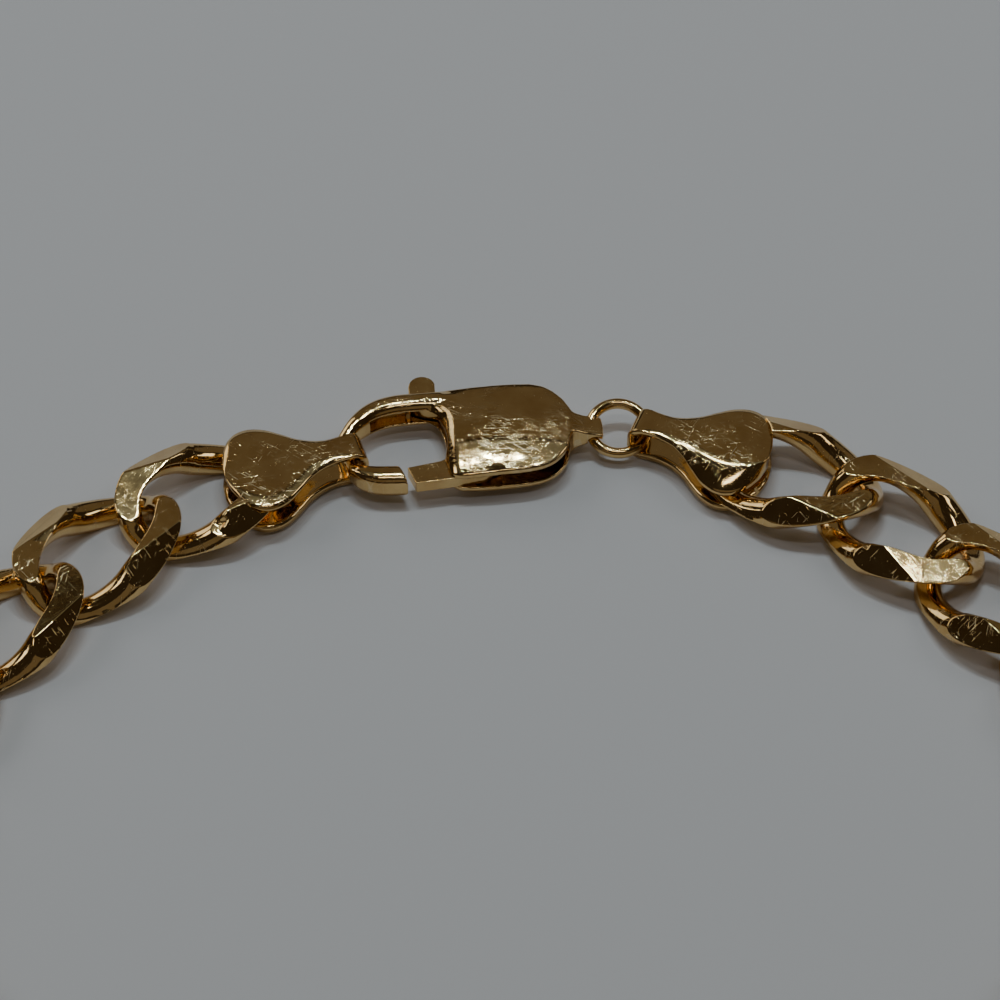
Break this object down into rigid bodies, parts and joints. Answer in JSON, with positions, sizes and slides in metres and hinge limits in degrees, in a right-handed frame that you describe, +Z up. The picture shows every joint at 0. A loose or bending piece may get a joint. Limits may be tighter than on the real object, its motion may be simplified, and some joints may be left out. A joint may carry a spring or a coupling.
{
  "type": "curb-link bracelet",
  "caption": "Gold curb-link bracelet closed in a loop by a lever clasp, with folded end caps and a jump ring, lying flat.",
  "frame": {"origin": "under the middle of the loop's box, on the surface the bracelet lies on", "axes": "+X to the right along the loop's longer side, from the hook's side to the ring's side; +Y to the back, where the clasp is; +Z up from the surface"},
  "size_m": [0.0848, 0.0731, 0.003],
  "materials": {
    "chain_gold": "polished yellow gold, worn, with fine scratches",
    "clasp_gold": "polished yellow gold, worn, with long fine scratches",
    "ring_gold": "bright polished yellow gold wire"
  },
  "bodies": {
    "bracelet": {"link_01": "chain_gold", "link_02": "chain_gold", "link_03": "chain_gold", "link_04": "chain_gold", "link_05": "chain_gold", "link_06": "chain_gold", "link_07": "chain_gold", "link_08": "chain_gold", "link_09": "chain_gold", "link_10": "chain_gold", "link_11": "chain_gold", "link_12": "chain_gold", "link_13": "chain_gold", "link_14": "chain_gold", "link_15": "chain_gold", "link_16": "chain_gold", "link_17": "chain_gold", "link_18": "chain_gold", "link_19": "chain_gold", "link_20": "chain_gold", "link_21": "chain_gold", "link_22": "chain_gold", "link_23": "chain_gold", "hook_end_cap": "chain_gold", "ring_end_cap": "chain_gold", "jump_ring": "ring_gold", "clasp_body": "clasp_gold", "lever_pin": "clasp_gold"},
    "lever": {"clasp_lever": "clasp_gold"}
  },
  "joints": [
    {"name": "lever_hinge", "type": "hinge", "parent": "bracelet", "child": "lever", "pos_m": [-0.00125, 0.02902, 0.0015], "axis": [0, 0, -1], "range_deg": [0, 24], "stiffness_Nm_per_rad": 0.001}
  ]
}
